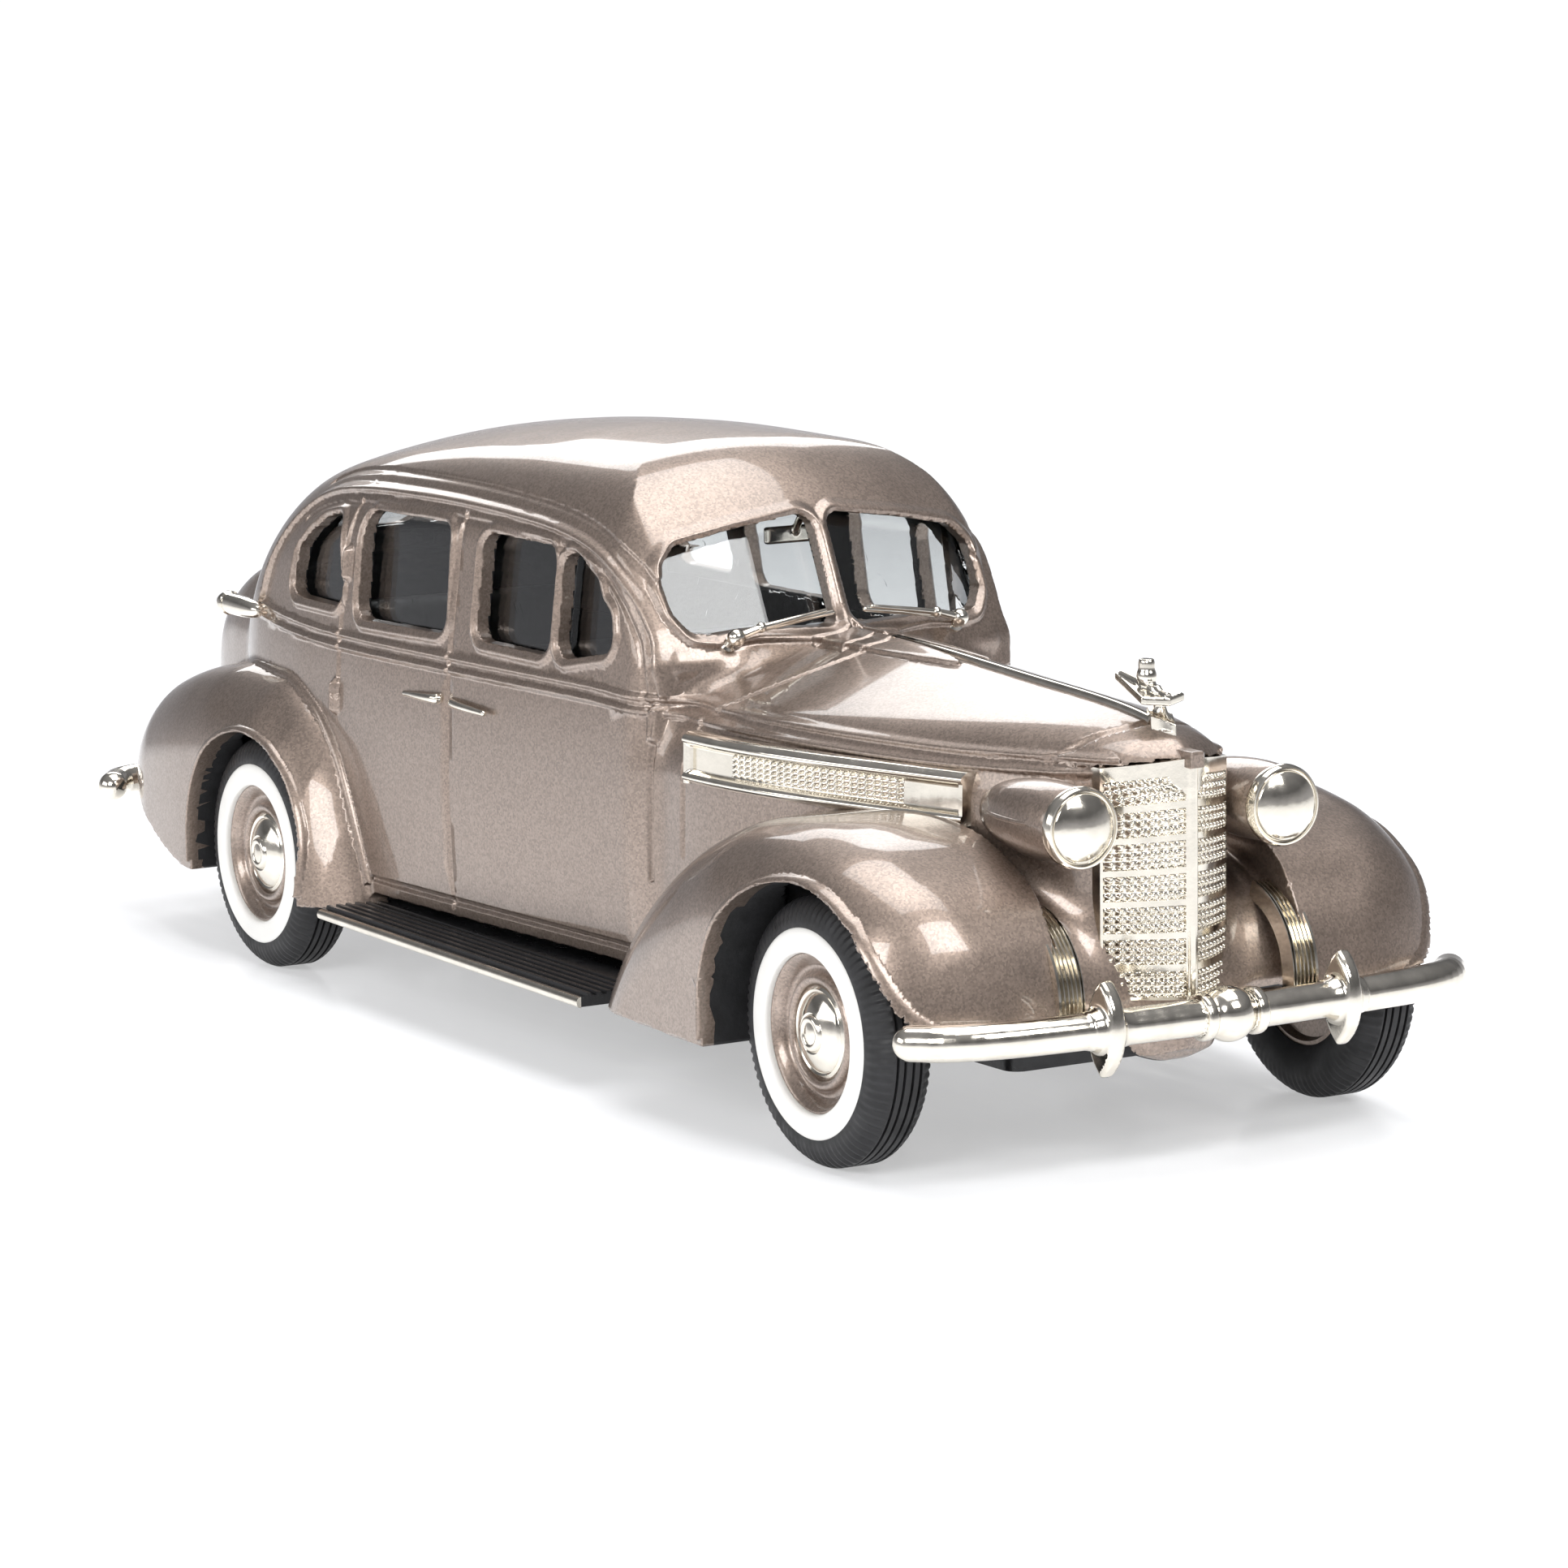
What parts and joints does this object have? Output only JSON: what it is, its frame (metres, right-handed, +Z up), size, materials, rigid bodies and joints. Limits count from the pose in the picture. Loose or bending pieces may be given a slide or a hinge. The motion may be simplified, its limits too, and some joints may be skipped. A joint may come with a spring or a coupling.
{
  "type": "diecast collector car",
  "caption": "Small metal collector model of a four-door trunk-back sedan with whitewall tyres, bright grille, bumpers and louvres, standing on two rolling wheel sets.",
  "frame": {"origin": "on the ground plane under the middle of the car's length and width", "axes": "+X to the front of the car, +Y to its left side, +Z up"},
  "size_m": [0.1189, 0.0422, 0.0382],
  "materials": {
    "paint": "metallic taupe enamel with fine flake under clear gloss",
    "bright_plating": "warm nickel-toned plating, polished",
    "black_plastic": "satin black moulding",
    "steel": "bare turned steel",
    "glazing": "clear moulded glazing",
    "interior": "dark taupe moulding",
    "brown_plastic": "dark brown moulding",
    "tyre_rubber": "satin black rubber, ribbed tread",
    "white_rubber": "white band inlay"
  },
  "bodies": {
    "chassis": {"body_shell": "paint", "headlight_pod_left": "paint", "headlight_pod_right": "paint", "grille": "bright_plating", "hood_strip": "bright_plating", "hood_ornament": "bright_plating", "front_bumper": "bright_plating", "rear_bumper": "bright_plating", "hood_louvre_left": "bright_plating", "hood_louvre_right": "bright_plating", "fender_vent_left": "bright_plating", "fender_vent_right": "bright_plating", "tail_light_left": "bright_plating", "tail_light_right": "bright_plating", "front_door_handle_left": "bright_plating", "front_door_handle_right": "bright_plating", "rear_door_handle_left": "bright_plating", "rear_door_handle_right": "bright_plating", "wiper_left": "bright_plating", "wiper_right": "bright_plating", "headlight_lens_left": "bright_plating", "headlight_lens_right": "bright_plating", "running_board_trim_left": "bright_plating", "running_board_trim_right": "bright_plating", "baseplate": "black_plastic", "running_board_left": "black_plastic", "running_board_right": "black_plastic", "front_bumper_brackets": "black_plastic", "rear_bumper_brackets": "black_plastic", "baseplate_screws": "steel", "windscreen": "glazing", "side_glass_left": "glazing", "side_glass_right": "glazing", "rear_screen": "glazing", "interior_tub": "interior", "front_seat": "interior", "rear_seat": "interior", "dashboard": "brown_plastic", "steering_wheel": "brown_plastic", "rear_view_mirror": "brown_plastic"},
    "front_wheels": {"front_axle": "steel", "front_tyre_left": "tyre_rubber", "front_whitewall_left": "white_rubber", "front_wheel_disc_left": "paint", "front_hubcap_left": "bright_plating", "front_tyre_right": "tyre_rubber", "front_whitewall_right": "white_rubber", "front_wheel_disc_right": "paint", "front_hubcap_right": "bright_plating"},
    "rear_wheels": {"rear_axle": "steel", "rear_tyre_left": "tyre_rubber", "rear_whitewall_left": "white_rubber", "rear_wheel_disc_left": "paint", "rear_hubcap_left": "bright_plating", "rear_tyre_right": "tyre_rubber", "rear_whitewall_right": "white_rubber", "rear_wheel_disc_right": "paint", "rear_hubcap_right": "bright_plating"}
  },
  "joints": [
    {"name": "front_axle_roll", "type": "hinge", "parent": "chassis", "child": "front_wheels", "pos_m": [0.0433, 0, 0.00787], "axis": [0, 1, 0], "continuous": true},
    {"name": "rear_axle_roll", "type": "hinge", "parent": "chassis", "child": "rear_wheels", "pos_m": [-0.0299, 0, 0.00787], "axis": [0, 1, 0], "continuous": true}
  ]
}
